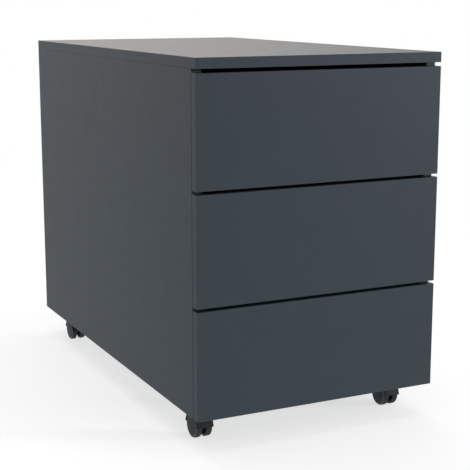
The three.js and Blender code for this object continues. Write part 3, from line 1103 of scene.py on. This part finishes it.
def web_mesh(caster):
    """The web between the wheels, and the hub that carries the axle."""
    shell = caster.hood_radius - HOOD_WALL / 2
    start = math.degrees(math.asin(HOOD_EDGE_RISE / shell))
    fan = arc((0.0, 0.0), shell, start, 180 - start, 64)
    web = loft("web", [[(x, y, z) for y, z in fan] for x in (-WEB_HALF_WIDTH, WEB_HALF_WIDTH)])
    hub = circle(WEB_HUB_RADIUS, 48)
    boss = loft("hub", [[(x, y, z) for y, z in hub] for x in (-WEB_HALF_WIDTH, WEB_HALF_WIDTH)])
    return gather("webs", [(web, Matrix()), (boss, Matrix())])


def hood_mesh(caster):
    """The whole hood about its axle: shell, boss and web melted into one moulding."""
    rough = gather("hood", [
        (arch_mesh(caster), Matrix()),
        (boss_mesh(caster), Matrix()),
        (web_mesh(caster), Matrix()),
    ])
    moulded = reshape(
        rough,
        ("REMESH", {"mode": "VOXEL", "voxel_size": VOXEL, "use_smooth_shade": True}),
        ("SMOOTH", {"factor": 0.5, "iterations": 6}),
        ("DECIMATE", {"ratio": 0.3}),
    )
    trail = caster.stem.y - caster.axle.y
    top = caster.hood_top - caster.axle.z
    past = 1 * MM
    stem_bore = cylinder(STEM_RADIUS + RUNNING_CLEARANCE, STEM_BORE_DEPTH + past)
    axle_bore = cylinder(AXLE_RADIUS + RUNNING_CLEARANCE, 2 * (WEB_HALF_WIDTH + past))
    bores = gather("bores", [
        (stem_bore, Matrix.Translation((0.0, trail, top - STEM_BORE_DEPTH))),
        (axle_bore, facing((1, 0, 0), (-WEB_HALF_WIDTH - past, 0.0, 0.0))),
    ])
    return combine(moulded, bores, "DIFFERENCE")


def wheel_mesh(caster):
    """One wheel, turned about Z with its outer face up: a crowned tread and a ribbed cup."""
    radius = caster.wheel_radius
    inner = caster.wheel_inner
    dome = caster.wheel_outer
    face = dome - 0.45 * MM
    cup = face - WHEEL_FACE
    bore = AXLE_RADIUS + RUNNING_CLEARANCE
    tread_start = inner + 0.8 * MM
    tread_end = face - WHEEL_SHOULDER
    tread = [
        (radius - WHEEL_CROWN * (2 * share - 1) ** 2, tread_start + share * (tread_end - tread_start))
        for share in (step / 8 for step in range(9))
    ]
    rounding = arc(
        (radius - WHEEL_SHOULDER - WHEEL_CROWN, tread_end),
        WHEEL_SHOULDER,
        start=10,
        end=90,
        steps=10,
    )
    ring_at = 0.76 * radius
    profile = [
        (0, WHEEL_BORE_END),
        (bore, WHEEL_BORE_END),
        (bore, inner + 0.3 * MM),
        (bore + 0.3 * MM, inner),
        (HUB_RADIUS - 0.3 * MM, inner),
        (HUB_RADIUS, inner + 0.3 * MM),
        (HUB_RADIUS, cup - 0.6 * MM),
        (HUB_RADIUS + 0.6 * MM, cup),
        (radius - 4.1 * MM, cup),
        (radius - 3.5 * MM, cup - 0.6 * MM),
        (radius - 3.2 * MM, inner + 0.3 * MM),
        (radius - 2.9 * MM, inner),
        (radius - 1.0 * MM, inner),
        (radius - 0.3 * MM, inner + 0.25 * MM),
        *tread,
        *rounding,
        (ring_at + 0.6 * MM, face + 0.05 * MM),
        (ring_at + 0.45 * MM, face - 0.25 * MM),
        (ring_at - 0.45 * MM, face - 0.25 * MM),
        (ring_at - 0.6 * MM, face + 0.08 * MM),
        (0.5 * radius, face + 0.26 * MM),
        (0.25 * radius, dome - 0.06 * MM),
        (0, dome),
    ]
    body = lathe("wheel", profile, 96)
    rib_length = radius - 3.3 * MM - HUB_RADIUS + 2 * RIB_BITE
    rib = slab(
        "rib",
        width=rib_length,
        height=1.1 * MM,
        thickness=cup - inner - RIB_INSET + RIB_BITE,
        corner=0.3 * MM,
        edge=0.1 * MM,
    )
    along = Matrix.Translation((HUB_RADIUS - RIB_BITE + rib_length / 2, 0.0, inner + RIB_INSET))
    turns = [Matrix.Rotation(2 * math.pi * step / RIBS, 4, "Z") for step in range(RIBS)]
    ribs = [(rib, turn @ along) for turn in turns]
    return combine(body, gather("ribs", ribs), "UNION")


def plate_mesh(caster):
    """The stamped mounting plate, the pressed swivel race and the stem, about the stem."""
    size = caster.plate_high.x - caster.plate_low.x
    under = caster.plate_high.z - PLATE_THICKNESS
    depth = under - RACE_BOTTOM
    stem_length = RACE_BOTTOM - caster.plate_low.z
    plate = slab(
        "plate",
        width=size,
        height=size,
        thickness=PLATE_THICKNESS,
        corner=4 * MM,
        edge=0.35 * MM,
    )
    race = lathe("race", [
        (0, 0.0),
        (9.6 * MM, 0.0),
        (10.2 * MM, 0.25 * MM),
        (10.6 * MM, 0.5 * depth),
        (11.2 * MM, 0.8 * depth),
        (12.2 * MM, depth + PLATE_BITE),
        (0, depth + PLATE_BITE),
    ], 72)
    stem = lathe("stem", [
        (0, 0.0),
        (STEM_RADIUS - 0.5 * MM, 0.0),
        (STEM_RADIUS, 0.5 * MM),
        (STEM_RADIUS, stem_length + PLATE_BITE),
        (0, stem_length + PLATE_BITE),
    ], 48)
    lifted = [
        gather("lifted", [(part, Matrix.Translation((0.0, 0.0, height)))])
        for part, height in ((plate, under), (race, RACE_BOTTOM), (stem, caster.plate_low.z))
    ]
    return combine(combine(lifted[0], lifted[1], "UNION"), lifted[2], "UNION")


def add_casters(screw, zinc):
    """Every caster's hood, wheels, plate and screws, from one set of shapes."""
    first = Caster(CASTERS[0])
    hood = hood_mesh(first)
    wheel = wheel_mesh(first)
    plate = plate_mesh(first)
    nylon = hood_material()
    rolling = wheel_material(first.wheel_radius)
    for place in CASTERS:
        caster = Caster(place)
        fork = f"{caster.name}_fork"
        cover = add_piece(f"{caster.name}_cover", hood.copy(), fork, nylon, caster.axle)
        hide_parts(f"{caster.name}_hood")
        for side, sign in SIDES.items():
            node = f"{caster.name}_wheel_{side}"
            turned = gather(node, [(wheel, facing((sign, 0, 0), (0.0, 0.0, 0.0)))])
            disc = add_piece(f"{node}_disc", turned, node, rolling, caster.axle)
            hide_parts(node)
        stem = (caster.stem.x, caster.stem.y, 0.0)
        pressing = add_piece(f"{caster.name}_mount", plate.copy(), "carcass", zinc, stem)
        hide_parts(f"{caster.name}_plate")
        reach = (caster.plate_high.x - caster.plate_low.x) / 2 - PLATE_SCREW_INSET
        under = caster.plate_high.z - PLATE_THICKNESS
        screws = [
            (screw, facing((0, 0, -1), (caster.stem.x + x * reach, caster.stem.y + y * reach, under)))
            for x in (-1, 1)
            for y in (-1, 1)
        ]
        add_group(f"{caster.name}_screws", screws, "carcass", zinc)


# ---------- CAD boards, panels and axles ----------

BOARD_EDGE = 0.35 * MM
PANEL_EDGE = 0.5 * MM
AXLE_EDGE = 0.3 * MM
WELD_WITHIN = 1e-6


def dress(name, material, edge):
    """Gives a CAD node its finish, and softens its edges."""
    node = NODES[name]
    node.data.materials.clear()
    node.data.materials.append(material)
    weld = node.modifiers.new("weld", "WELD")
    weld.merge_threshold = WELD_WITHIN
    bevel = node.modifiers.new("edge", "BEVEL")
    bevel.width = edge
    bevel.segments = 3
    bevel.limit_method = "ANGLE"


def dress_nodes(zinc):
    for name in CARCASS_BOARDS + FRONT_BOARDS:
        dress(name, board_material(name), BOARD_EDGE)
    for name in BOX_PANELS:
        dress(name, foil_material(name), PANEL_EDGE)
    for place in CASTERS:
        dress(f"caster_{place}_axle", zinc, AXLE_EDGE)


add_camera()
add_studio()
zinc = steel_material("zinc_steel", ZINC, 0.32)
dark_zinc = steel_material("dark_zinc", DARK_ZINC, 0.42, NO_GRAIN)
ball_steel = steel_material("ball_steel", BALL_STEEL, 0.2, NO_GRAIN)
rubber = soft_material("soft_rubber", SOFT_RUBBER, 0.5)
black_stop = soft_material("black_stop", NYLON, 0.5)
screw = screw_mesh()
cam = cam_mesh()
dress_nodes(zinc)
add_drawer_fittings(cam, dark_zinc)
add_carcass_fittings(cam, dark_zinc)
add_front_buffers(rubber)
add_rails(zinc)
add_slides(screw, zinc, ball_steel, black_stop)
add_casters(screw, zinc)
